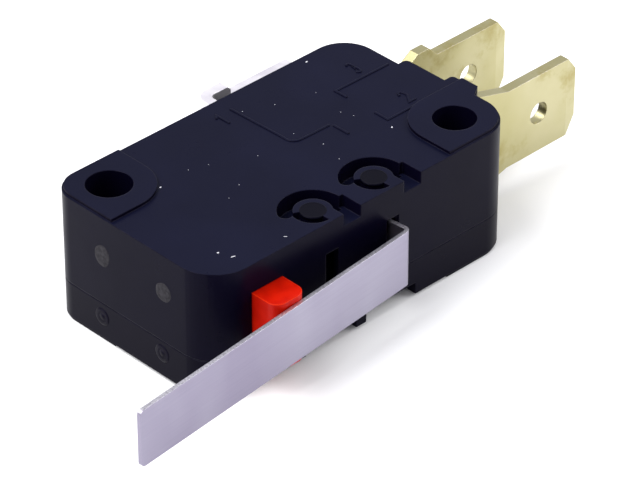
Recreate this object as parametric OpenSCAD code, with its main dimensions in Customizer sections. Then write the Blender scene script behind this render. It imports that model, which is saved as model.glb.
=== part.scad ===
// Miniature snap-action switch with a long hinged lever and quick-connect tabs.
// Frame: origin at the centre of the rear-left mounting hole on the cover's
// mounting plane, +X towards the free ends of the tabs, +Y away from the plunger,
// +Z through the thickness of the body. The switch lies on its cover at z = 0.

/* [Body] */
// Distance from the rear-left hole to the left end of the body
end_left = 2.8; // [2.4:0.1:3.2]
// Distance from the rear-left hole to the rear face
rear_face = 2.8; // [2.4:0.1:3.2]
// Height of the body from the front face to the rear face
body_height = 15.9; // [15.6:0.1:16.2]
// Distance from the rear-left hole to the right end, at the rear
end_right = 24.6; // [24.4:0.1:24.8]
// Overall thickness over the raised pads
body_thick = 10.3; // [10.1:0.1:10.5]
// Height of the joint between the case and the cover
split_z = 3.1; // [3:0.05:3.2]
// Thickness of the moulded walls
wall = 1.2; // [1.1:0.05:1.3]
// Height of the raised pad round each mounting hole
pad_h = 0.25; // [0.2:0.05:0.3]
// Radius of the raised pad round each mounting hole
pad_r = 3.2; // [3:0.1:3.3]

/* [Mounting holes] */
// Radius of the rear-left mounting hole
hole_a_r = 1.625; // [1.6:0.005:1.65]
// Radius of the front-right mounting hole
hole_b_r = 1.55; // [1.53:0.005:1.6]
// Spacing of the holes along the body
hole_dx = 22.2; // [22.1:0.1:22.3]
// Spacing of the holes across the body
hole_dy = 10.3; // [10.2:0.1:10.4]

/* [Lever] */
// Width of the lever strip
lever_w = 4.4; // [4.2:0.1:4.6]
// Thickness of the lever strip
lever_t = 0.3; // [0.25:0.01:0.32]
// Outward slope of the free lever, degrees
lever_slope = 5.3; // [4.8:0.1:5.6]
// Length of the lever from its hinge
lever_length = 26.6; // [24:0.1:28]
// Radius of the moulded hinge pin
hinge_pin_r = 0.75; // [0.7:0.01:0.76]

/* [Plunger] */
// Width of the plunger along the body
plunger_w = 2.75; // [2.6:0.05:2.8]
// Width of the plunger through the thickness of the body
plunger_d = 5.3; // [5:0.1:5.4]
// Free height of the plunger over the front face
plunger_out = 2.28; // [2.25:0.01:2.28]

/* [Terminals] */
// Width of a quick-connect tab
tab_w = 6.35; // [6.2:0.05:6.4]
// Thickness of a quick-connect tab
tab_t = 0.8; // [0.75:0.05:0.8]
// Radius of the latch hole in each tab
tab_hole_r = 0.85; // [0.7:0.05:0.9]
// Tip of the two end tabs, from the rear-left hole
tab_tip = 36.6; // [35:0.1:37]
// Tip of the common tab, from the rear-left hole
com_tip = 22.3; // [21:0.1:22.5]

/* [Contacts] */
// Radius of the contact rivets
contact_r = 1.5; // [1.3:0.1:1.6]
// Distance that the moving contact crosses
contact_gap = 1; // [0.8:0.1:1]

/* [Springs] */
// Radius of the spring wire
wire_r = 0.14; // [0.1:0.01:0.15]
// Turns of the snap spring
snap_turns = 11; // [8:1:12]
// Turns of the return spring
return_turns = 6; // [5:1:7]

/* [Hidden] */
$fn = 64;
eps = 0.01;

// Body planes
x_left = -end_left;
y_rear = rear_face;
y_front = rear_face - body_height;
face_top = body_thick - pad_h;
mid_z = body_thick / 2;
roof_z = face_top - wall;
floor_z = pad_h + wall;
parting_gap = 0.05;
parting_inset = 0.14;

// Right end: three steps from the rear corner to the front corner
step_1_x = end_right + 0.8;
step_1_y = -2.5;
step_2_x = end_right + 1.6;
step_2_rear = -6.2;
step_2_front = -8.6;
step_2_foot = -9.2;
corner_fl = 3;
corner_fr = 1.3;
corner_rr = 2.5;
corner_rl = 1;

// Mounting holes, each as [x, y, radius]
hole_a = [0, 0, hole_a_r];
hole_b = [hole_dx, -hole_dy, hole_b_r];
boss_r = 2.6;

// The inside: solid in front of the seats' back wall, but for the plunger's own room
seat_wall_y = -8.8;
plunger_room_x = 4.9;

// Hinge seats: the lever hangs in the right-hand one
seats = [[7.82, -11.34], [13.45, -11.34]];
pivot = seats[1];
pin_fit = 0.05;
seat_bore_r = 1.45;
seat_low = 2.75;
seat_high = 7.6;
slot_left = 0.5;
slot_right = 0.65;

// Moulding marks round each seat
post_r = 0.9;
spiral_in = 1.35;
spiral_out = 2.4;
spiral_depth = 1.3;
exit_left = 1.1;
exit_right = 2.7;
exit_depth = 0.55;
sliver_out = 1.5;
sliver_depth = 0.6;
pocket_depth = 0.9;
pocket_r = 2.35;

// Lever, in plan
eye_r = hinge_pin_r + pin_fit + lever_t / 2;
leg_x = -0.15;
lever_drop = 3.04;
lever_bend = 0.2;
lever_z = mid_z - lever_w / 2;
lever_corner = 0.35;

// Plunger, in plan
plunger_x = 2.02;
plunger_tip = y_front - plunger_out;
plunger_corner = 0.8;
plunger_gap = 0.05;
plunger_back = -7.3;
flange_y = y_front + wall + 0.1;
flange_t = 0.85;
flange_w = 4.2;
horn_x = 3.9;
horn_y = -5.9;
horn_half = 0.95;

// Terminals, in plan
com_leg_x = 12.9;
com_tab_y = 5;
com_frame_y = -0.4;
com_post_x = 5.25;
com_post_y = -6.2;
com_shoulder_x = 15.3;
shoulder_half = 4;
bend_in = 0.4;
nc_tab_y = -8.1;
nc_blade_y = -6.9;
nc_jog_x = 25;
no_tab_y = -1.2;
no_blade_y = -2.2;
no_jog_x = 24;
blade_end = 17.4;
blade_w = 4.4;
tab_hole_back = 3.95;
tab_chamfer = [1, 1.25];
tab_bevel = [1.1, 0.22];
slot_half = 2.86;
wall_in = 23.4;
// Where the wide shoulders of the end tabs begin and end
nc_shoulder = [step_2_x, step_2_x + 0.4, 29.5];
no_shoulder = [25.8, 27.5, 28.6, 29.4];

// Contacts and the moving arm
contact_x = 19.3;
arm_y = -5;
arm_t = 0.3;
arm_w = 4;
arm_end = 21;
arm_pivot_x = 5.55;
arm_window = [6.2, 15.3];
arm_hook = [15.8, 16.3];
head_h = 0.55;
contact_clear = 0.02;
shank_r = 0.7;
window_half = 1.05;

// Springs
snap_r = 0.68;
hook_r = 0.42;
return_x = 1.45;
return_r = 1.05;
return_seat = -2.9;
rib_w = 3;
wire_sides = 8;
turn_steps = 14;

// ---------- plan shapes ----------

// What is removed to round a corner whose point is at the origin, body towards +x +y
module corner_cut(r) {
    difference() {
        translate([-1, -1]) square(r + 1);
        translate([r, r]) circle(r);
    }
}

// A rectangle in plan with its own radius at each corner, from the front left anticlockwise
module plan_block(x0, y0, x1, y1, radii) {
    corners = [[x0, y0], [x1, y0], [x1, y1], [x0, y1]];
    difference() {
        translate([x0, y0]) square([x1 - x0, y1 - y0]);
        for (i = [0:3])
            if (radii[i] > 0) translate(corners[i]) rotate(90 * i) corner_cut(radii[i]);
    }
}

// Outline of the body, drawn in by d on every side
module body_plan(d = 0) {
    x0 = x_left + d;
    y0 = y_front + d;
    y1 = y_rear - d;
    plan_block(x0, y0, end_right - d, y1,
               [corner_fl - d, corner_fr - d, corner_rr - d, corner_rl - d]);
    plan_block(end_right - 3, y0, step_1_x - d, step_1_y - d, [0, corner_fr - d, 0.4, 0]);
    plan_block(end_right - 3, step_2_front + d, step_2_x - d, step_2_rear - d, [0, 0, 0.3, 0]);
    polygon([[end_right, step_2_foot + d], [step_1_x - d, step_2_foot + d],
             [step_2_x - d, step_2_front + d], [end_right, step_2_front + d]]);
}

// Raised pad round a hole: an arc, run out square to the nearest end and side of the body
module pad_plan(hole, angle) {
    far = 6;
    intersection() {
        body_plan();
        translate([hole[0], hole[1]]) rotate(angle) {
            circle(pad_r);
            translate([-far, -pad_r]) square([far, far + pad_r]);
            translate([-far, 0]) square([far + pad_r, far]);
        }
    }
}

module pads_plan() {
    pad_plan(hole_a, 0);
    pad_plan(hole_b, 180);
}

// The space inside the walls, left free by the bosses and the spring's rib
module cavity_plan() {
    difference() {
        union() {
            plan_block(x_left + wall, seat_wall_y - eps, wall_in, y_rear - wall, [0, 0.5, 1.5, 0.3]);
            plan_block(x_left + wall, y_front + wall, plunger_room_x, seat_wall_y + 1, [1.8, 0.3, 0, 0]);
        }
        translate([hole_a[0], hole_a[1]]) circle(boss_r);
        translate([x_left, 0]) square([end_left, 5]);
        translate([hole_b[0], hole_b[1]]) circle(boss_r);
        translate([return_x - rib_w / 2, return_seat]) square([rib_w, 2]);
    }
}

// Part of a ring between two angles, a < b
module ring_sector(r_in, r_out, a, b) {
    reach = 3 * r_out;
    steps = ceil((b - a) / 45);
    intersection() {
        difference() {
            circle(r_out);
            circle(r_in);
        }
        polygon(concat([[0, 0]],
            [for (i = [0:steps]) let(t = a + (b - a) * i / steps) reach * [cos(t), sin(t)]]));
    }
}

// A bent strip round a corner at the origin: legs to +x and +y, inner radius r
module elbow(to_x, to_y, t, r) {
    difference() {
        plan_block(-t / 2, -t / 2, to_x, to_y, [r + t, 0, 0, 0]);
        plan_block(t / 2, t / 2, to_x + 1, to_y + 1, [r, 0, 0, 0]);
    }
}

// Edge of an end terminal: straight from x_to back to x_jog, then set over at 45 degrees
module jogged(x_from, x_to, x_jog, tab_y, blade_y) {
    h = tab_t / 2;
    step = blade_y - tab_y;
    m = sign(step) * h * tan(22.5);
    x_end = x_jog - abs(step);
    polygon([[x_to, tab_y + h], [x_jog + m, tab_y + h], [x_end + m, blade_y + h], [x_from, blade_y + h],
             [x_from, blade_y - h], [x_end - m, blade_y - h], [x_jog - m, tab_y - h], [x_to, tab_y - h]]);
}

module nc_plan(x_from = blade_end) {
    jogged(x_from, tab_tip, nc_jog_x, nc_tab_y, nc_blade_y);
}

module no_plan(x_from = blade_end) {
    jogged(x_from, tab_tip, no_jog_x, no_tab_y, no_blade_y);
}

// ---------- moulded body ----------

module mounting_holes(z0, z1) {
    for (hole = [hole_a, hole_b])
        translate([hole[0], hole[1], z0]) cylinder(r = hole[2], h = z1 - z0);
}

// Hinge seat: a round pocket with a slot to the front face
module seat_space(seat, z0, z1) {
    translate([seat[0], seat[1], z0]) linear_extrude(z1 - z0) {
        circle(seat_bore_r);
        translate([-slot_left, y_front - seat[1] - 1]) square([slot_left + slot_right, 2]);
    }
}

// Opening for the plunger in the front wall
module plunger_space(z0, z1) {
    half = plunger_w / 2 + plunger_gap;
    translate([plunger_x - half, y_front - 1, z0]) cube([2 * half, wall + 2, z1 - z0]);
}

// Openings for the three terminals in the walls
module terminal_slots(z0, z1) {
    translate([0, 0, z0]) linear_extrude(z1 - z0) {
        nc_plan(20);
        no_plan(20);
    }
}

module com_slot(z0, z1) {
    translate([com_leg_x - tab_t / 2, y_rear - wall - 1, z0]) cube([tab_t, wall + 2, z1 - z0]);
}

// Spiral mark round a seat on the case: a deep crescent, its way out and a thin sliver
module spiral_mark(seat) {
    translate([seat[0], seat[1], face_top]) {
        translate([0, 0, -spiral_depth]) linear_extrude(spiral_depth + 1) {
            ring_sector(spiral_in, spiral_out, -7, 150);
            rotate(150) translate([(spiral_in + spiral_out) / 2, 0]) circle((spiral_out - spiral_in) / 2);
        }
        translate([0, 0, -exit_depth]) linear_extrude(exit_depth + 1)
            difference() {
                translate([exit_left, y_front - seat[1] - 1])
                    square([exit_right - exit_left, seat[1] - y_front + 1]);
                circle(spiral_in);
            }
        translate([0, 0, -sliver_depth]) linear_extrude(sliver_depth + 1)
            ring_sector(post_r, sliver_out, 150, 272);
    }
}

module case() {
    color("#26263a") {
        difference() {
            union() {
                translate([0, 0, split_z]) linear_extrude(face_top - split_z) body_plan();
                translate([0, 0, face_top - eps]) linear_extrude(pad_h + eps) pads_plan();
            }
            translate([0, 0, split_z - 1]) linear_extrude(roof_z - split_z + 1) cavity_plan();
            mounting_holes(split_z - 1, body_thick + 1);
            for (seat = seats) {
                seat_space(seat, split_z - 1, seat_high);
                spiral_mark(seat);
            }
            plunger_space(split_z - 1, mid_z + plunger_d / 2 + plunger_gap);
            terminal_slots(split_z - 1, mid_z + slot_half);
            com_slot(split_z - 1, mid_z + shoulder_half);
        }
        for (seat = seats)
            translate([seat[0], seat[1], seat_low + 0.1]) cylinder(r = hinge_pin_r, h = seat_high - seat_low);
    }
}

module cover() {
    color("#2a2a3c")
        difference() {
            union() {
                translate([0, 0, pad_h]) linear_extrude(split_z - parting_gap - pad_h) body_plan();
                translate([0, 0, pad_h]) linear_extrude(split_z - pad_h) body_plan(parting_inset);
                linear_extrude(pad_h + eps) pads_plan();
            }
            translate([0, 0, floor_z]) linear_extrude(split_z) cavity_plan();
            mounting_holes(-1, split_z + 1);
            for (seat = seats) {
                seat_space(seat, seat_low, split_z + 1);
                post_pocket(seat);
            }
            plunger_space(mid_z - plunger_d / 2 - plunger_gap, split_z + 1);
            terminal_slots(mid_z - slot_half, split_z + 1);
            com_slot(mid_z - shoulder_half, split_z + 1);
        }
}

// Arched pocket under the cover, open to the front, with the end of the post standing in it
module post_pocket(seat) {
    reach = seat[1] - y_front + 1;
    translate([seat[0], seat[1], -1]) linear_extrude(1 + pad_h + pocket_depth)
        difference() {
            union() {
                circle(pocket_r);
                translate([-pocket_r, -reach]) square([2 * pocket_r, reach]);
            }
            circle(post_r);
        }
}

// ---------- lever and plunger ----------

// Drawn square about the hinge, then swung out by the slope of the free lever
module lever() {
    half = lever_t / 2;
    color("#b5afcc")
        translate([pivot[0], pivot[1], lever_z]) rotate(lever_slope) difference() {
            linear_extrude(lever_w) {
                ring_sector(eye_r - half, eye_r + half, -95, 195);
                translate([leg_x, -lever_drop - half]) rotate(90)
                    elbow(lever_drop + half - eye_r + 0.1, lever_length + leg_x, lever_t, lever_bend);
            }
            for (side = [0, 1])
                translate([-lever_length, 0, lever_w / 2]) mirror([0, 0, side]) translate([0, 0, -lever_w / 2])
                    rotate([90, 0, 0]) linear_extrude(2 * lever_drop) corner_cut(lever_corner);
        }
}

module plunger_plan() {
    half = plunger_w / 2;
    plan_block(plunger_x - half, plunger_tip, plunger_x + half, plunger_back,
               [plunger_corner, plunger_corner, 0, 0]);
    plan_block(plunger_x - flange_w / 2, flange_y, plunger_x + flange_w / 2, flange_y + flange_t,
               [0.2, 0.2, 0.2, 0.2]);
}

module plunger() {
    arm_x = plunger_x + plunger_w / 2;
    color("#e0330a") {
        translate([0, 0, mid_z - plunger_d / 2]) linear_extrude(plunger_d) plunger_plan();
        // Horn on the inner end, with two cheeks and the pin that the snap spring hooks on
        for (side = [-1, 1])
            translate([0, 0, mid_z + side * (horn_half + 0.35) - 0.35]) linear_extrude(0.7)
                plan_block(arm_x - 1, plunger_back - 1.2, horn_x + 0.45, horn_y + 0.45, [0, 0.4, 0.45, 0.2]);
        translate([horn_x, horn_y, mid_z - horn_half - eps])
            cylinder(r = 0.24, h = 2 * (horn_half + eps));
        // Spigot that centres the return spring
        translate([return_x, plunger_back - eps, mid_z]) rotate([-90, 0, 0]) cylinder(r = 0.7, h = 0.9);
    }
}

// ---------- terminals ----------

// Outline of a terminal seen on its broad face: [x, half width] pairs out to the chamfered tip
module tab_face(tip, widths) {
    half = tab_w / 2;
    cut = tab_chamfer;
    difference() {
        polygon(concat(widths,
            [[tip - cut[0], half], [tip, half - cut[1]], [tip, cut[1] - half], [tip - cut[0], -half]],
            [for (i = [len(widths) - 1:-1:0]) [widths[i][0], -widths[i][1]]]));
        translate([tip - tab_hole_back, 0]) circle(tab_hole_r);
    }
}

// Stamped terminal: its plan strip, cut to the outline of its broad face and bevelled at the tip
module stamped(tip, tab_y) {
    difference() {
        intersection() {
            translate([0, 0, mid_z - shoulder_half]) linear_extrude(2 * shoulder_half) children(0);
            translate([0, 20, mid_z]) rotate([90, 0, 0]) linear_extrude(40) children(1);
        }
        for (side = [0, 1])
            translate([tip, tab_y, 0]) mirror([0, side, 0]) translate([0, -tab_t / 2, 0])
                linear_extrude(body_thick)
                    polygon([[-tab_bevel[0], 0], [0.1, tab_bevel[1] * (1 + 0.1 / tab_bevel[0])],
                             [0.1, -0.1], [-tab_bevel[0], -0.1]]);
    }
}

module rivet_hole(y) {
    translate([contact_x, y + 2, mid_z]) rotate([90, 0, 0]) cylinder(r = shank_r + 0.02, h = 4);
}

// Both end terminals are the same inside the body
blade_outline = [[blade_end, blade_w / 2], [wall_in, blade_w / 2], [wall_in, slot_half]];

module nc_terminal() {
    color("#d8d29a")
        difference() {
            stamped(tab_tip, nc_tab_y) {
                nc_plan();
                tab_face(tab_tip, concat(blade_outline, [
                    [nc_shoulder[0], slot_half], [nc_shoulder[0], shoulder_half],
                    [nc_shoulder[1], shoulder_half], [nc_shoulder[2], tab_w / 2]]));
            }
            rivet_hole(nc_blade_y);
        }
}

module no_terminal() {
    color("#d8d29a")
        difference() {
            stamped(tab_tip, no_tab_y) {
                no_plan();
                tab_face(tab_tip, concat(blade_outline, [
                    [no_shoulder[0], slot_half], [no_shoulder[1], shoulder_half],
                    [no_shoulder[2], shoulder_half], [no_shoulder[3], tab_w / 2]]));
            }
            rivet_hole(no_blade_y);
        }
}

// Bent strip of the common terminal: tab, leg through the rear wall, frame and post
module com_plan() {
    leg = com_tab_y - com_frame_y;
    frame = com_leg_x - com_post_x;
    translate([com_leg_x, com_tab_y]) rotate(-90) elbow(leg / 2, com_tip - com_leg_x, tab_t, bend_in);
    translate([com_leg_x, com_frame_y]) rotate(90) elbow(leg / 2 + 0.1, frame / 2, tab_t, bend_in);
    translate([com_post_x, com_frame_y]) rotate(-90)
        elbow(com_frame_y - com_post_y, frame / 2 + 0.1, tab_t, bend_in);
}

module com_terminal() {
    inner = blade_w / 2 + 0.3;
    color("#e6e3ea")
        difference() {
            stamped(com_tip, com_tab_y) {
                com_plan();
                tab_face(com_tip, [
                    [com_post_x - 1, inner], [com_leg_x - 1, inner], [com_leg_x - 1, shoulder_half],
                    [com_shoulder_x - 0.3, shoulder_half], [com_shoulder_x, shoulder_half - 0.3],
                    [com_shoulder_x, tab_w / 2]]);
            }
            // The leg narrows inside the rear wall
            for (side = [-1, 1])
                translate([com_leg_x - 3, com_frame_y - 2, mid_z + side * (inner + 2) - 2])
                    cube([6, y_rear - wall - com_frame_y + 2, 4]);
            // Fork that lets the snap spring through, with a notch for the arm's feet
            translate([com_post_x - tab_t, com_post_y - 1, mid_z - window_half])
                cube([2 * tab_t, 4, 2 * window_half]);
            translate([com_post_x + tab_t / 2, arm_y, 0]) linear_extrude(body_thick)
                polygon([[0.1, 0.45], [-0.32, 0.05], [-0.32, -0.05], [0.1, -0.45]]);
        }
}

// ---------- contacts and snap mechanism ----------

// Rivet with its axis along y: a head, a shank through the plate and a formed tail
module fixed_contact(y, side, head) {
    translate([contact_x, y, mid_z]) rotate([-90 * side, 0, 0]) {
        translate([0, 0, tab_t / 2]) cylinder(r = contact_r, h = head);
        translate([0, 0, -tab_t / 2 - eps]) cylinder(r = shank_r, h = tab_t + 2 * eps);
        translate([0, 0, -tab_t / 2 - 0.25]) cylinder(r = shank_r + 0.4, h = 0.25);
    }
}

// Face of each contact, measured from the arm's own plane at rest
moving_face = arm_t / 2 + head_h;
nc_head = arm_y - moving_face - contact_clear - (nc_blade_y + tab_t / 2);
no_head = no_blade_y - tab_t / 2 - (arm_y + moving_face + contact_gap + contact_clear);

module nc_contact() {
    color("#cfd0d2") fixed_contact(nc_blade_y, 1, nc_head);
}

module no_contact() {
    color("#cfd0d2") fixed_contact(no_blade_y, -1, no_head);
}

module moving_arm() {
    color("#c98a4b")
        difference() {
            union() {
                translate([arm_pivot_x, arm_y - arm_t / 2, mid_z - arm_w / 2])
                    cube([arm_end - arm_pivot_x, arm_t, arm_w]);
                translate([arm_pivot_x, arm_y, mid_z - arm_w / 2]) cylinder(r = arm_t / 2, h = arm_w);
            }
            translate([arm_pivot_x - 1, arm_y - 1, mid_z - window_half])
                cube([arm_window[1] - arm_pivot_x + 1, 2, 2 * window_half]);
            translate([arm_hook[0], arm_y - 1, mid_z - 0.3]) cube([arm_hook[1] - arm_hook[0], 2, 0.6]);
            rivet_hole(arm_y);
        }
}

module moving_contact() {
    crown = 0.15;
    color("#d2d3d6")
        translate([contact_x, arm_y, mid_z]) rotate([-90, 0, 0]) {
            translate([0, 0, -arm_t / 2 - eps]) cylinder(r = shank_r, h = arm_t + 2 * eps);
            for (side = [0, 1])
                mirror([0, 0, side]) translate([0, 0, arm_t / 2]) {
                    cylinder(r = contact_r - 0.1, h = head_h - crown);
                    intersection() {
                        cylinder(r = contact_r - 0.1, h = head_h);
                        translate([0, 0, head_h - crown_radius(crown)]) sphere(crown_radius(crown));
                    }
                }
        }
}

// Radius of the sphere whose cap of the given height just covers a moving head
function crown_radius(h) = ((contact_r - 0.1) * (contact_r - 0.1) + h * h) / (2 * h);

// ---------- springs ----------

function unit(v) = v / norm(v);

// Frames carried along a path with no twist, then the wire's rings as one closed surface
function tangents(path) = [for (i = [0:len(path) - 1])
    unit(path[min(i + 1, len(path) - 1)] - path[max(i - 1, 0)])];
function carried(t, start, i = 0, out = []) = i == len(t) ? out
    : let(last = i == 0 ? start : out[i - 1], flat = last - (last * t[i]) * t[i])
      carried(t, start, i + 1, concat(out, [unit(flat)]));

module wire(path, start) {
    t = tangents(path);
    n = carried(t, start);
    s = wire_sides;
    last = len(path) - 1;
    points = [for (i = [0:last]) for (k = [0:s - 1])
        path[i] + wire_r * (cos(360 * k / s) * n[i] + sin(360 * k / s) * cross(t[i], n[i]))];
    sides = [for (i = [0:last - 1]) for (k = [0:s - 1])
        let(a = i * s, b = a + s, k2 = (k + 1) % s)
        for (f = [[a + k, b + k, b + k2], [a + k, b + k2, a + k2]]) f];
    ends = [[for (k = [0:s - 1]) k], [for (k = [s - 1:-1:0]) last * s + k]];
    polyhedron(points, concat(sides, ends), convexity = 6);
}

// Tension spring between the plunger's pin and the arm's bar, an open eye at each end
module snap_spring() {
    from = [horn_x, horn_y];
    to = [(arm_window[1] + arm_hook[0]) / 2, arm_y];
    span = norm(to - from);
    lead = hook_r + 0.7;
    coil = span - 2 * lead;
    turns = snap_turns;
    steps = turns * turn_steps;
    eye = [for (a = [-150:30:0]) a];
    path = concat(
        [for (a = eye) [hook_r * cos(a), hook_r * sin(a), 0]],
        [for (i = [0:steps]) let(f = i / steps, ramp = min(1, 6 * f, 6 * (1 - f)))
            [lead + coil * f, snap_r * ramp * sin(360 * turns * f), snap_r * ramp * cos(360 * turns * f)]],
        [for (a = eye) [span - hook_r * cos(a + 150), hook_r * sin(a + 150), 0]]);
    color("#b9bcc2")
        translate([from[0], from[1], mid_z]) rotate(atan2(to[1] - from[1], to[0] - from[0]))
            wire(path, [0, 0, 1]);
}

// Compression spring from the plunger's spigot to the rib in the case
module return_spring() {
    y0 = plunger_back + wire_r;
    y1 = return_seat - wire_r;
    turns = return_turns;
    steps = turns * turn_steps;
    // The end turns lie nearly flat
    path = [for (i = [0:steps])
        let(a = 360 * turns * i / steps, f = i / steps,
            lift = f < 1 / turns ? 0.12 * f * turns
                 : f > 1 - 1 / turns ? 0.88 + 0.12 * (f - 1 + 1 / turns) * turns
                 : 0.12 + 0.76 * (f - 1 / turns) / (1 - 2 / turns))
        [return_x + return_r * cos(a), y0 + (y1 - y0) * lift, mid_z + return_r * sin(a)]];
    color("#b9bcc2") wire(path, [1, 0, 0]);
}

case();
cover();
lever();
plunger();
com_terminal();
nc_terminal();
no_terminal();
nc_contact();
no_contact();
moving_arm();
moving_contact();
snap_spring();
return_spring();
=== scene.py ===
"""A miniature lever switch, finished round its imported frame. Metres, in the frame of the CAD part."""

import math

import bmesh
import bpy
import numpy as np
from mathutils import Matrix, Vector


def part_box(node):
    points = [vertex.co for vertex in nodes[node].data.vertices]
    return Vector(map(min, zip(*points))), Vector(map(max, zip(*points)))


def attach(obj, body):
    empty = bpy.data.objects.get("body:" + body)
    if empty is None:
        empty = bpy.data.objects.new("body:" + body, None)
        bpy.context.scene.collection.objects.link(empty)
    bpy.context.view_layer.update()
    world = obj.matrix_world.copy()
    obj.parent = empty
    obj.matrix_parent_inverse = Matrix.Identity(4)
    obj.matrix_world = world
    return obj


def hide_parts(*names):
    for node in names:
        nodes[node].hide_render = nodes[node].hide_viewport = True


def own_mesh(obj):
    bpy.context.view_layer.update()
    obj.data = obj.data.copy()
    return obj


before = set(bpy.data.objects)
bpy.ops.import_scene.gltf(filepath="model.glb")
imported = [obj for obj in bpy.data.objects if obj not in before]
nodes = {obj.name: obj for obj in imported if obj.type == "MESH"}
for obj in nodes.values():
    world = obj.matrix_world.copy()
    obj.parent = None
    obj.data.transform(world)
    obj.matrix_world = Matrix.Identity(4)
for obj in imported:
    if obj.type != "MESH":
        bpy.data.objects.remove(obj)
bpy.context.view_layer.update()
MM = 0.001


# ---------------------------------------------------------------------------------------------
# Case: the upper moulding, in black glass-filled plastic. The tool leaves a satin skin with a very
# fine grain. The edges are painted a little lighter, partly worn and partly a painted highlight,
# and the walls are painted darker than the broad faces, a painted shade.
# ---------------------------------------------------------------------------------------------
class Finish:
    """A material and the few node steps that every finish of the switch is made from."""

    def __init__(self, name):
        self.material = bpy.data.materials.new(name)
        self.material.use_nodes = True
        self.tree = self.material.node_tree
        self.shader = self.tree.nodes["Principled BSDF"]
        self.place = self.node("TexCoord").outputs["Object"]

    def node(self, kind, **settings):
        made = self.tree.nodes.new("ShaderNode" + kind)
        for key, value in settings.items():
            setattr(made, key, value)
        return made

    def feed(self, socket, value):
        """Links a node's output to a socket, or sets a plain value on it."""
        if isinstance(value, bpy.types.NodeSocket):
            self.tree.links.new(value, socket)
        else:
            socket.default_value = value

    def set(self, **values):
        """Sets sockets of the shader by name, with _ for a space."""
        for key, value in values.items():
            self.feed(self.shader.inputs[key.replace("_", " ")], value)

    def turned(self, scale, turn=0.0):
        """The object's coordinates, turned about Z by turn degrees and then scaled."""
        spun = self.node("Mapping", vector_type="POINT")
        self.feed(spun.inputs["Vector"], self.place)
        spun.inputs["Rotation"].default_value = (0, 0, math.radians(turn))
        scaled = self.node("Mapping", vector_type="POINT")
        self.feed(scaled.inputs["Vector"], spun.outputs["Vector"])
        scaled.inputs["Scale"].default_value = scale
        return scaled.outputs["Vector"]

    def noise(self, size, detail=2.0, roughness=0.5, place=None):
        """Noise from 0 to 1 whose features are about size metres across."""
        made = self.node("TexNoise")
        self.feed(made.inputs["Vector"], place or self.place)
        made.inputs["Scale"].default_value = 1 / size
        made.inputs["Detail"].default_value = detail
        made.inputs["Roughness"].default_value = roughness
        return made.outputs["Fac"]

    def ramp(self, value, low, high, start=0.0, end=1.0):
        """value between low and high, spread linearly over start to end and held outside."""
        made = self.node("MapRange", clamp=True)
        self.feed(made.inputs["Value"], value)
        for key, number in zip(("From Min", "From Max", "To Min", "To Max"), (low, high, start, end)):
            made.inputs[key].default_value = number
        return made.outputs["Result"]

    def combine(self, operation, first, second=0.0):
        """One step of arithmetic on two values, or on the first alone."""
        made = self.node("Math", operation=operation)
        self.feed(made.inputs[0], first)
        self.feed(made.inputs[1], second)
        return made.outputs["Value"]

    def blend(self, share, first, second):
        """A colour between first and second, as share goes from 0 to 1."""
        made = self.node("Mix", data_type="RGBA")
        self.feed(made.inputs[0], share)
        for socket, colour in ((made.inputs[6], first), (made.inputs[7], second)):
            self.feed(socket, colour if isinstance(colour, bpy.types.NodeSocket) else (*colour, 1))
        return made.outputs[2]

    def bump(self, height, depth, strength=1.0, normal=None):
        """A normal bent by a height from 0 to 1 that stands for depth metres."""
        made = self.node("Bump")
        made.inputs["Strength"].default_value = strength
        made.inputs["Distance"].default_value = depth
        self.feed(made.inputs["Height"], height)
        if normal is not None:
            self.feed(made.inputs["Normal"], normal)
        return made.outputs["Normal"]

    def rounded(self, radius):
        """(the normal of edges eased to that radius, how near an edge it is from 0 to 1)."""
        eased = self.node("Bevel", samples=6)
        eased.inputs["Radius"].default_value = radius
        flat = self.node("NewGeometry")
        dot = self.node("VectorMath", operation="DOT_PRODUCT")
        self.feed(dot.inputs[0], eased.outputs["Normal"])
        self.feed(dot.inputs[1], flat.outputs["Normal"])
        return eased.outputs["Normal"], self.ramp(dot.outputs["Value"], 0.98, 0.75)

    def facing(self, axis):
        """How far the surface faces along an axis, from -1 to 1."""
        flat = self.node("NewGeometry")
        parts = self.node("SeparateXYZ")
        self.feed(parts.inputs["Vector"], flat.outputs["Normal"])
        return parts.outputs[axis]


def black_plastic(name, hue, wall_shade_hue, edge_hue):
    """Black moulded plastic: near-black body, satin skin, fine grain, edges painted lighter in patches as
    wear and painted highlight. The broad faces have the bluish hue, and the walls the deeper
    wall_shade_hue, a painted shade."""
    f = Finish(name)
    eased, edge = f.rounded(0.12 * MM)
    broad = f.noise(6 * MM, 3)
    grain = f.noise(0.09 * MM, 3)
    patchy = f.noise(1.3 * MM, 4, 0.6)
    tone = f.ramp(broad, 0.3, 0.7)
    # The walls take the darker wall_shade_hue: painted shade by which way a face turns.
    flat, shaded_wall = (f.blend(tone, c, tuple(1.3 * part for part in c)) for c in (hue, wall_shade_hue))
    body = f.blend(f.ramp(f.combine("ABSOLUTE", f.facing("Z")), 0.4, 0.8), shaded_wall, flat)
    # Edges painted lighter in patches: partly wear, partly a painted highlight.
    worn_and_highlit_edge = f.combine("MULTIPLY", edge, f.ramp(patchy, 0.42, 0.62, 0.15, 0.8))
    f.set(
        Base_Color=f.blend(worn_and_highlit_edge, body, edge_hue),
        Roughness=f.ramp(f.noise(2.2 * MM, 4), 0.3, 0.7, 0.27, 0.38),
        Normal=f.bump(grain, 0.006 * MM, 0.35, eased),
        Specular_IOR_Level=0.052,
        Specular_Tint=(0.84, 0.80, 1.0, 1.0),
    )
    return f.material


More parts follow.
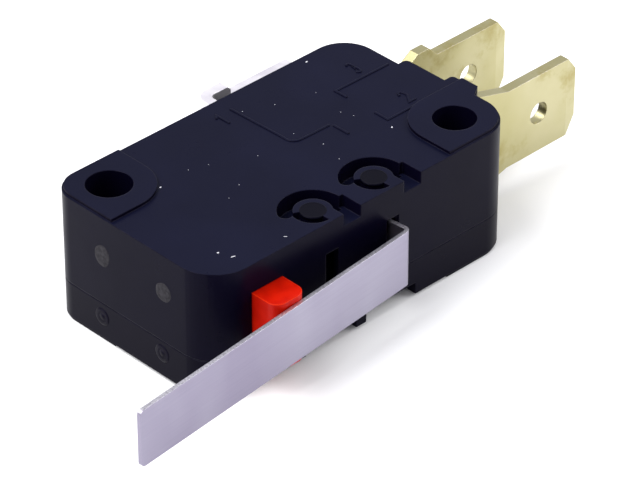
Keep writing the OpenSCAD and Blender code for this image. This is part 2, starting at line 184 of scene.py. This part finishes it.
case_black = black_plastic("case_plastic", hue=(0.0036, 0.0041, 0.0136),
                           wall_shade_hue=(0.0014, 0.0010, 0.0058), edge_hue=(0.020, 0.019, 0.034))
case_low, case_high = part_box("case")
pad_height = 0.25 * MM
pad_inset = 0.13 * MM
pad_foot = 0.006 * MM
top_z = case_high.z - pad_height
packed_exit_z = top_z - 0.55 * MM
finished_exit_z = top_z - 0.95 * MM
# Corners of the body in plan that the finished moulding rounds more fully:
# (x, y, radius, x side, y side)
rear_left = (case_low.x, case_high.y, 1.9 * MM, -1, 1)
front_right = (case_low.x + 28.2 * MM, case_low.y, 2.7 * MM, 1, -1)


def rounded_moulding(node, material, corners, pad_edge):
    """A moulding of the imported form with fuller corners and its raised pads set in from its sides.
    Outside a corner's arc, a point moves straight towards the arc's centre until it lies on it.
    Past the heights in pad_edge, a point keeps pad_inset from each side of the body's outline."""
    shape = bmesh.new()
    shape.from_mesh(nodes[node].data)
    bmesh.ops.remove_doubles(shape, verts=shape.verts, dist=1e-7)
    cuts = [((0, 0, z), (0, 0, 1)) for z in pad_edge]
    for x, y, r, side_x, side_y in corners:
        for back in r * (1 - np.sin(np.radians(np.arange(0, 90, 9)))):
            cuts += [((x - side_x * back, 0, 0), (1, 0, 0)), ((0, y - side_y * back, 0), (0, 1, 0))]
    for place, across in cuts:
        bmesh.ops.bisect_plane(shape, geom=[*shape.verts, *shape.edges, *shape.faces],
                               dist=1e-8, plane_co=place, plane_no=across)
    mesh = bpy.data.meshes.new(node + "_moulding")
    shape.to_mesh(mesh)
    shape.free()
    if "custom_normal" in mesh.attributes:
        mesh.attributes.remove(mesh.attributes["custom_normal"])
    p = np.empty(3 * len(mesh.vertices))
    mesh.vertices.foreach_get("co", p)
    p = p.reshape(-1, 3)
    for x, y, r, side_x, side_y in corners:
        centre = np.array([x - side_x * r, y - side_y * r])
        off = p[:, :2] - centre
        far = np.hypot(*off.T)
        out = (off[:, 0] * side_x > 0) & (off[:, 1] * side_y > 0) & (far > r)
        p[out, :2] = centre + off[out] * (r / far[out])[:, None]
    middle = (np.array(case_low[:2]) + np.array(case_high[:2])) / 2
    on_pad = (p[:, 2] - pad_edge[0]) / (pad_edge[1] - pad_edge[0]) > 0.5
    for x, y, r, side_x, side_y in corners:
        mine = on_pad & ((p[:, 0] - middle[0]) * side_x > 0)
        centre = np.array([x - side_x * r, y - side_y * r])
        off = p[:, :2] - centre
        far = np.hypot(*off.T)
        bend = mine & (off[:, 0] * side_x > 0) & (off[:, 1] * side_y > 0) & (far > r - pad_inset)
        p[bend, :2] = centre + off[bend] * ((r - pad_inset) / far[bend])[:, None]
        for axis, edge, side in ((0, x, side_x), (1, y, side_y)):
            flat = mine & ~bend & (np.abs(edge - p[:, axis]) < pad_inset)
            p[flat, axis] = edge - side * pad_inset
    p[np.abs(p[:, 2] - packed_exit_z) < 1e-6, 2] = finished_exit_z
    mesh.vertices.foreach_set("co", p.ravel())
    mesh.materials.clear()
    mesh.materials.append(material)
    mesh.update()
    normal = np.empty(3 * len(mesh.polygons))
    mesh.polygons.foreach_get("normal", normal)
    mesh.polygons.foreach_set("use_smooth", np.abs(normal[2::3]) < 0.5)
    mesh.set_sharp_from_angle(angle=math.radians(25))
    made = bpy.data.objects.new(node + "_moulding", mesh)
    bpy.context.scene.collection.objects.link(made)
    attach(made, "body")
    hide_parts(node)


fuller_corners = (rear_left, front_right)
rounded_moulding("case", case_black, fuller_corners, (top_z, top_z + pad_foot))


# ---------------------------------------------------------------------------------------------
# Cover: the lower moulding, from the same plastic and another cavity of the tool, so a shade
# apart. It snaps on under the case and closes it along the parting line.
# ---------------------------------------------------------------------------------------------
cover_black = black_plastic("cover_plastic", hue=(0.0038, 0.0040, 0.0120),
                            wall_shade_hue=(0.0016, 0.0011, 0.0050), edge_hue=(0.021, 0.019, 0.031))
rounded_moulding("cover", cover_black, fuller_corners, (pad_height, pad_height - pad_foot))


# ---------------------------------------------------------------------------------------------
# Circuit marks: the wiring sketch and terminal numbers moulded on the case's flat top as thin
# raised lines, one ridge to a line, in the plastic of the case.
# ---------------------------------------------------------------------------------------------
line_w = 0.2 * MM
line_h = 0.07 * MM


def mesh_piece(name, points, faces, material, body="body", smooth=False):
    """A new piece from an array of points and a list of faces, which rides on a CAD body."""
    mesh = bpy.data.meshes.new(name)
    mesh.from_pydata(np.asarray(points).reshape(-1, 3).tolist(), [], faces)
    mesh.polygons.foreach_set("use_smooth", [smooth] * len(mesh.polygons))
    mesh.materials.append(material)
    made = bpy.data.objects.new(name, mesh)
    bpy.context.scene.collection.objects.link(made)
    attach(made, body)
    return made


def swept(rows, around, first=0):
    """Faces of a closed tube of rows rings with around points each: a quad from ring i, point k to
    ring i + 1, point k + 1, and one face over each end. They point outwards where each ring runs
    right-handed about the way from the first ring to the last."""
    i, k = np.meshgrid(np.arange(rows - 1), np.arange(around), indexing="ij")
    here, there = first + i * around, first + (i + 1) * around
    quads = np.stack([here + k, here + (k + 1) % around, there + (k + 1) % around, there + k], -1)
    last = first + (rows - 1) * around
    ends = [list(range(first + around - 1, first - 1, -1)), list(range(last, last + around))]
    return quads.reshape(-1, 4).tolist() + ends


def ridge(path, width):
    """Points of a ridge along a path in plan, in mm: each ring is a low flat-topped profile set
    across the path, at the mean of the two directions that meet there, wider by 1 / cos(half
    the turn) so that a corner keeps its width. The foot is sunk a little into the case."""
    p = np.asarray(path, float) * MM
    way = np.diff(p, axis=0)
    way /= np.linalg.norm(way, axis=1)[:, None]
    before, after = np.vstack([way[:1], way]), np.vstack([way, way[-1:]])
    along = before + after
    along /= np.linalg.norm(along, axis=1)[:, None]
    across = np.stack([along[:, 1], -along[:, 0]], 1) / np.sum(along * after, 1)[:, None]
    half = width / 2
    offset = np.array([-half, -half, -0.8 * half, -0.5 * half, 0.5 * half, 0.8 * half, half, half])
    level = np.array([-0.3, 0.55, 0.88, 1.0, 1.0, 0.88, 0.55, -0.3]) * line_h
    rings = np.empty((len(p), 8, 3))
    rings[:, :, :2] = p[:, None] + across[:, None] * offset[None, :, None]
    rings[:, :, 2] = top_z + level
    return rings


def ridges(name, paths, width=line_w):
    """One piece made of several ridges, each a closed solid of its own."""
    rings = [ridge(path, width) for path in paths]
    starts = np.cumsum([0] + [8 * len(r) for r in rings])
    faces = [f for r, s in zip(rings, starts) for f in swept(len(r), 8, int(s))]
    points = np.vstack([r.reshape(-1, 3) for r in rings])
    return mesh_piece(name, points, faces, case_black)


def arc(x, y, r, start, end, steps=10):
    """Points of an arc in plan, as (x + r cos t, y + r sin t) from start to end degrees."""
    t = np.radians(np.linspace(start, end, steps))
    return [tuple(q) for q in np.stack([x + r * np.cos(t), y + r * np.sin(t)], 1)]


ridges("common_line", [
    [(12.25, 1.35), (12.4, -3.3), *arc(13.1, -4.0, 0.7, 180, 270, 7), (15.7, -4.75)],
    [(15.9, -5.0), (15.9, -6.45)],
])
ridges("open_line", [
    [(24.05, -2.05), (19.0, -2.0), (19.0, -3.1)],
])
ridges("closed_line", [
    [(19.05, -5.8), (19.05, -7.05), (24.2, -7.05)],
])


digit_height = 1.3
digit_width = 0.55 * digit_height


def digit(strokes, x, y):
    """A digit's strokes, drawn in a unit box, set at x, y and read from the plunger's side."""
    return [[(x + digit_width * u, y + digit_height * v) for u, v in stroke] for stroke in strokes]


one = [[(0.15, 0.75), (0.55, 1.0), (0.55, 0.0)]]
two = [[*arc(0.5, 0.68, 0.33, 165, -25, 9), (0.1, 0.0), (0.95, 0.0)]]
three = [[*arc(0.48, 0.75, 0.26, 150, -70, 8), *arc(0.48, 0.27, 0.29, 70, -150, 9)]]
digit_places = (("digit_1", one, 10.6, 0.1), ("digit_2", two, 21.6, -6.5), ("digit_3", three, 21.6, -1.4))
for name, strokes, x, y in digit_places:
    ridges(name, digit(strokes, x, y), 0.85 * line_w)


# ---------------------------------------------------------------------------------------------
# Post ends: the pins that carry the lever are moulded through the case. Their round ends show on
# the top as two dull discs, each with a low rim.
# ---------------------------------------------------------------------------------------------
def turned_mark(name, place, out, up, profile, material, slot, oval=1.0, waver=0.0, seed=0, around=48):
    """A round mark on a moulding: a profile of (radius, height) pairs in mm, turned about the line
    through place along out. A point is place + height out + radius (side cos t + oval up sin t),
    and the radius is varied by waver times a smooth sum of three waves."""
    out, up = np.array(out), np.array(up)
    side = np.cross(up, out)
    rng = np.random.default_rng(seed)
    t = np.linspace(0, 2 * np.pi, around, endpoint=False)
    wave = sum(rng.uniform(-1, 1) * np.cos(n * t + rng.uniform(0, 6)) / n for n in (2, 3, 5))
    r, h = np.asarray(profile).T
    radius = (r[:, None] * (1 + waver * wave[None]))[..., None]
    round_way = np.cos(t)[:, None] * side + oval * np.sin(t)[:, None] * up
    rings = np.array(place) + (h[:, None, None] * out + radius * round_way) * MM
    return mesh_piece(name, rings, swept(len(r), around), material, smooth=True)


post_black = black_plastic("post_plastic", hue=(0.0011, 0.0011, 0.0040),
                           wall_shade_hue=(0.0011, 0.0011, 0.0040), edge_hue=(0.012, 0.012, 0.020))
post_y = -11.34 * MM
disc = [(0.93, -0.2), (0.915, 0.012), (0.89, 0.02), (0.85, 0.012), (0.83, 0.006), (0.82, 0.005), (0.8, 0.005),
        (0.4, 0.005), (0.03, 0.005)]
for name, x in (("post_end_1", 7.82), ("post_end_2", 13.45)):
    turned_mark(name, (x * MM, post_y, top_z), (0, 0, 1), (0, 1, 0), disc, post_black, "body_black")


# ---------------------------------------------------------------------------------------------
# Tool marks on the left end: two matt gate scars where plastic entered the case, and two ejector
# rings on the cover. Each is a shallow turned form about an axis along X.
# ---------------------------------------------------------------------------------------------
def end_mark(name, y, z, *rest):
    """A turned mark on the left end, with its middle at y, z in mm."""
    return turned_mark(name, (case_low.x, y * MM, z * MM), (-1, 0, 0), (0, 0, 1), *rest)


def scarred_plastic():
    """Torn, matt plastic of a gate scar: paler than the skin and rough."""
    f = Finish("gate_scar")
    torn = f.noise(0.25 * MM, 5, 0.7)
    f.set(
        Base_Color=f.blend(f.ramp(torn, 0.35, 0.65), (0.006, 0.005, 0.008), (0.030, 0.028, 0.034)),
        Roughness=0.75,
        Specular_IOR_Level=0.2,
        Normal=f.bump(torn, 0.03 * MM, 0.6),
    )
    return f.material


gate_scar = scarred_plastic()
scar = [(0.75, -0.02), (0.72, 0.012), (0.5, 0.02), (0.25, 0.01), (0.04, 0.008)]
ring = [(0.68, -0.02), (0.66, 0.02), (0.58, 0.03), (0.5, 0.02), (0.42, -0.005), (0.3, -0.01), (0.2, 0.02),
        (0.03, 0.03)]
end_mark("gate_scar_1", -2.31, 7.0, scar, gate_scar, "body_black", 1.15, 0.12, 3)
end_mark("gate_scar_2", -8.31, 7.1, scar, gate_scar, "body_black", 1.0, 0.12, 5)
end_mark("ejector_ring_1", -2.1, 1.95, ring, cover_black, "cover_black", 1.0, 0.03, 7)
end_mark("ejector_ring_2", -8.05, 2.05, ring, cover_black, "cover_black", 1.0, 0.03, 9)


# ---------------------------------------------------------------------------------------------
# Plunger: a small push button moulded in orange-red acetal, smooth and slightly waxy, with a little
# light soaking under its skin. Its edges are painted brighter than its faces, a painted highlight.
# ---------------------------------------------------------------------------------------------
def acetal_red():
    f = Finish("plunger_red_finish")
    eased, edge = f.rounded(0.14 * MM)
    cloud = f.noise(1.1 * MM, 3)
    skin = f.blend(f.ramp(cloud, 0.35, 0.65), (0.41, 0.0045, 0.0002), (0.50, 0.0075, 0.0003))
    f.set(
        # Edges painted a brighter orange: a painted highlight.
        Base_Color=f.blend(f.combine("MULTIPLY", edge, 0.8), skin, (0.92, 0.045, 0.003)),
        Roughness=f.ramp(f.noise(0.5 * MM, 3), 0.3, 0.7, 0.3, 0.42),
        Normal=f.bump(f.noise(0.12 * MM, 2), 0.004 * MM, 0.3, eased),
        Subsurface_Weight=0.12,
        Subsurface_Radius=(1.0, 0.15, 0.03),
        Subsurface_Scale=0.3 * MM,
        Specular_IOR_Level=0.1,
    )
    return f.material


nodes["plunger"].material_slots[0].material = acetal_red()


# ---------------------------------------------------------------------------------------------
# Lever: stainless strip, blanked and bent. The faces keep the satin lines of the rolling along
# its length. The up-facing blanked edges are painted grainy and pale, with bright and grey patches,
# partly bare blanked metal and partly a painted highlight.
# ---------------------------------------------------------------------------------------------
lever_turn = -5.3


def rolled_steel():
    f = Finish("lever_steel_finish")
    eased, _ = f.rounded(0.05 * MM)
    lines = f.noise(0.12 * MM, 3, 0.6, f.turned((0.02, 0.02, 1.0), lever_turn))
    drift = f.noise(7 * MM, 2, 0.5, f.turned((1, 1, 0.5), lever_turn))
    pits = f.noise(0.16 * MM, 4, 0.7)
    # Only the up-facing blanked edges get the pale grainy colour: partly a painted highlight.
    up_facing_edge_highlight = f.ramp(f.facing("Z"), 0.4, 0.7)
    face = f.blend(f.ramp(drift, 0.35, 0.65), (0.275, 0.250, 0.335), (0.345, 0.325, 0.405))
    specked_highlit_edge = f.blend(f.ramp(pits, 0.4, 0.6), (0.46, 0.44, 0.50), (0.76, 0.74, 0.80))
    f.set(
        Base_Color=f.blend(up_facing_edge_highlight, face, specked_highlit_edge),
        Metallic=1.0,
        Roughness=f.ramp(lines, 0.3, 0.7, 0.30, 0.44),
        Normal=f.bump(lines, 0.003 * MM, 0.5, eased),
    )
    return f.material


nodes["lever"].material_slots[0].material = rolled_steel()


# ---------------------------------------------------------------------------------------------
# End terminals: blades stamped from brass strip, bevelled at the tip. The brass is pale and
# clean for the most part, with blots of tan tarnish. Along the top and bottom stamped edges a pale
# lilac grey is painted, a painted highlight, flecked with dark specks.
# ---------------------------------------------------------------------------------------------
def tarnished_brass():
    f = Finish("tab_brass_finish")
    eased, edge = f.rounded(0.07 * MM)
    blots = f.noise(2.6 * MM, 5, 0.65)
    specks = f.noise(0.35 * MM, 4, 0.7)
    lines = f.noise(0.1 * MM, 2, 0.5, f.turned((0.03, 1.0, 1.0)))
    # A pale lilac grey along the top and bottom stamped edges: a painted highlight, flecked with dark specks.
    edge_highlight_mask = f.combine("MULTIPLY", f.ramp(f.combine("ABSOLUTE", f.facing("Z")), 0.5, 0.8), edge)
    clean = f.blend(f.ramp(f.noise(5 * MM, 2), 0.35, 0.65), (0.445, 0.408, 0.208), (0.505, 0.468, 0.275))
    stained = f.blend(f.combine("MULTIPLY", f.ramp(blots, 0.55, 0.72), 0.7), clean, (0.37, 0.31, 0.105))
    specked_highlit_edge = f.blend(f.ramp(specks, 0.56, 0.68), (0.62, 0.57, 0.60), (0.40, 0.34, 0.22))
    f.set(
        Base_Color=f.blend(edge_highlight_mask, stained, specked_highlit_edge),
        Metallic=1.0,
        Roughness=f.ramp(blots, 0.4, 0.7, 0.34, 0.5),
        Normal=f.bump(lines, 0.002 * MM, 0.4, eased),
    )
    return f.material


tab_brass = tarnished_brass()
for terminal in ("nc_terminal", "no_terminal"):
    nodes[terminal].material_slots[0].material = tab_brass


# ---------------------------------------------------------------------------------------------
# Common terminal: one bent strip from the tab to the post inside, plated after bending, so that
# its edges are as bright as its faces.
# ---------------------------------------------------------------------------------------------
def bright_plate():
    f = Finish("common_plated_finish")
    eased, _ = f.rounded(0.1 * MM)
    cloud = f.noise(1.4 * MM, 4, 0.6)
    f.set(
        Base_Color=f.blend(f.ramp(cloud, 0.35, 0.65), (0.80, 0.77, 0.83), (0.90, 0.88, 0.91)),
        Metallic=1.0,
        Roughness=f.ramp(cloud, 0.3, 0.7, 0.5, 0.62),
        Normal=f.bump(f.noise(0.15 * MM, 3), 0.004 * MM, 0.4, eased),
    )
    return f.material


nodes["com_terminal"].material_slots[0].material = bright_plate()


# ---------------------------------------------------------------------------------------------
# Inner parts: silver contacts riveted in the terminals and the arm, the copper alloy arm, and
# two springs of drawn wire. They are shut in the body.
# ---------------------------------------------------------------------------------------------
def inner_metal(name, dark, light, rough):
    """Bare metal with a clouded, slightly oxidised skin."""
    f = Finish(name)
    cloud = f.noise(0.6 * MM, 4, 0.6)
    f.set(
        Base_Color=f.blend(f.ramp(cloud, 0.35, 0.65), dark, light),
        Metallic=1.0,
        Roughness=f.ramp(cloud, 0.3, 0.7, rough, rough + 0.15),
        Normal=f.bump(f.noise(0.06 * MM, 2), 0.003 * MM, 0.4),
    )
    return f.material


contact_silver = inner_metal("contact_silver_finish", (0.70, 0.70, 0.70), (0.86, 0.86, 0.85), 0.25)
for contact in ("nc_contact", "no_contact", "moving_contact"):
    nodes[contact].material_slots[0].material = contact_silver
arm_copper = inner_metal("arm_copper_finish", (0.62, 0.33, 0.17), (0.78, 0.47, 0.27), 0.3)
nodes["moving_arm"].material_slots[0].material = arm_copper
spring_wire = inner_metal("spring_wire_finish", (0.42, 0.42, 0.44), (0.62, 0.62, 0.65), 0.28)
nodes["snap_spring"].material_slots[0].material = spring_wire


def push_coil(turns=6, wire=0.14 * MM, sides=10, per_turn=28, closing=0.75):
    """The return spring: a round wire wound about an axis along Y, built at the length of the imported
    spring. The centre line goes round at an even rate and rises slowly over the first and last
    turns: rise = u - closing sin(2 pi u) / 2 pi, for u from 0 to 1 along the wire. The wire's
    rings are centre line + wire (cos t outward + sin t side)."""
    low, high = (np.array(c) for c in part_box("return_spring"))
    centre, radius = (low + high) / 2, (high[0] - low[0]) / 2 - wire
    u = np.linspace(0, 1, turns * per_turn + 1)
    turn = 2 * np.pi * turns * u
    rise = u - closing * np.sin(2 * np.pi * u) / (2 * np.pi)
    length = high[1] - low[1]
    line = np.stack([centre[0] + radius * np.cos(turn), low[1] + wire + (length - 2 * wire) * rise,
                     centre[2] + radius * np.sin(turn)], 1)
    along = np.gradient(line, axis=0)
    along /= np.linalg.norm(along, axis=1)[:, None]
    outward = np.stack([np.cos(turn), 0 * turn, np.sin(turn)], 1)
    side = np.cross(along, outward)
    t = np.linspace(0, 2 * np.pi, sides, endpoint=False)
    section = np.cos(t)[:, None] * outward[:, None] + np.sin(t)[:, None] * side[:, None]
    made = mesh_piece("return_coil", line[:, None] + wire * section, swept(len(u), sides), spring_wire,
                      smooth=True)
    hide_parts("return_spring")
    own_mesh(made)


push_coil()


# ---------------------------------------------------------------------------------------------
# Dust: pale flakes and short fibres of paper and lint, lying loose on the flat top. A few are
# large enough to notice one by one, and the rest are scattered specks.
# ---------------------------------------------------------------------------------------------
def pale_dust():
    f = Finish("dust")
    f.set(
        Base_Color=f.blend(f.noise(0.1 * MM, 2), (0.45, 0.45, 0.50), (0.75, 0.75, 0.80)),
        Roughness=0.9,
    )
    return f.material


flake_lift = 0.012
flake_half = 0.03


def flakes(name, places, seed):
    """Flakes at (x, y, length, width, turn): each is a six-sided lens, with its rim wavered by random
    shares, one point above and one below."""
    rng = np.random.default_rng(seed)
    x, y, length, width, turn = np.asarray(places, float).T
    t = np.radians(np.arange(0, 360, 60))
    rim = rng.uniform(0.7, 1.2, (len(x), 6))
    u, v = rim * np.cos(t) * length[:, None] / 2, rim * np.sin(t) * width[:, None] / 2
    a = np.radians(turn)[:, None]
    points = np.zeros((len(x), 8, 3))
    points[:, :6, 0] = x[:, None] + u * np.cos(a) - v * np.sin(a)
    points[:, :6, 1] = y[:, None] + u * np.sin(a) + v * np.cos(a)
    points[:, 6:, 0], points[:, 6:, 1] = x[:, None], y[:, None]
    points[..., 2] = top_z / MM + flake_lift
    points[:, 6, 2] += flake_half
    points[:, 7, 2] -= flake_half
    faces = [[8 * i + k, 8 * i + (k + 1) % 6, 8 * i + 6] for i in range(len(x)) for k in range(6)]
    faces += [[8 * i + (k + 1) % 6, 8 * i + k, 8 * i + 7] for i in range(len(x)) for k in range(6)]
    mesh_piece(name, points * MM, faces, pale_dust())


loose = np.random.default_rng(21)
spread = ((3.5, 18), (-8.2, 1), (0.05, 0.1), (0.04, 0.07), (0, 180))
scattered = np.stack([loose.uniform(low, high, 14) for low, high in spread], 1).tolist()
noticed = [(2.4, -2.4, 0.2, 0.12, 20), (0.0, -10.6, 0.17, 0.15, 0), (0.4, -11.6, 0.4, 0.08, -15),
           (18.6, -7.9, 0.2, 0.12, 40), (20.2, 2.1, 0.22, 0.14, 10), (4.4, -12.3, 0.3, 0.05, 140)]
flakes("dust", noticed + scattered, 4)


# ---------------------------------------------------------------------------------------------
# Studio: a white sheet under the switch, a white room, two large soft lamps, and a camera with a
# long lens, level with its horizon.
# ---------------------------------------------------------------------------------------------
floor_half = 1.5
floor_mesh = bpy.data.meshes.new("studio_floor")
floor_corners = [(x * floor_half, y * floor_half, 0) for x, y in ((-1, -1), (1, -1), (1, 1), (-1, 1))]
floor_mesh.from_pydata(floor_corners, [], [(0, 1, 2, 3)])
floor = bpy.data.objects.new("studio_floor", floor_mesh)
bpy.context.scene.collection.objects.link(floor)
paper = Finish("white_paper")
paper.set(
    Base_Color=paper.blend(paper.noise(60 * MM, 2), (0.93, 0.93, 0.935), (0.95, 0.95, 0.955)),
    Roughness=0.9,
    Specular_IOR_Level=0.1,
)
floor_mesh.materials.append(paper.material)

world = bpy.data.worlds.new("white_room")
world.use_nodes = True
world.node_tree.nodes["Background"].inputs["Color"].default_value = (0.96, 0.96, 1.0, 1)
world.node_tree.nodes["Background"].inputs["Strength"].default_value = 0.85
bpy.context.scene.world = world


switch_middle = Vector((0.012, -0.006, 0.005))


def softbox(name, place, size, power):
    """A square lamp at place, aimed at the switch."""
    lamp = bpy.data.lights.new(name, "AREA")
    lamp.shape, lamp.size, lamp.energy = "SQUARE", size, power
    made = bpy.data.objects.new(name, lamp)
    aim = switch_middle - Vector(place)
    made.matrix_world = Matrix.Translation(place) @ aim.to_track_quat("-Z", "Y").to_matrix().to_4x4()
    bpy.context.scene.collection.objects.link(made)


softbox("key_softbox", (-0.35, 0.15, 0.55), 0.5, 5.0)
softbox("fill_softbox", (0.45, -0.35, 0.35), 0.4, 2.0)

camera_azimuth, camera_dip = 44.04, 34.83
camera = bpy.data.objects.new("camera", bpy.data.cameras.new("camera"))
a, e = math.radians(camera_azimuth), math.radians(camera_dip)
look = Vector((math.sin(a) * math.cos(e), math.cos(a) * math.cos(e), -math.sin(e)))
camera.location = Vector((-143.35, -168.0, 158.68)) * MM
camera.rotation_mode = "QUATERNION"
camera.rotation_quaternion = look.to_track_quat("-Z", "Y")
camera.data.sensor_width = 36
camera.data.lens = 225.5
camera.data.shift_x, camera.data.shift_y = 0.0055, 0.0088
camera.data.clip_start, camera.data.clip_end = 0.01, 10
bpy.context.scene.collection.objects.link(camera)
bpy.context.scene.camera = camera
bpy.context.scene.view_settings.view_transform = "Standard"
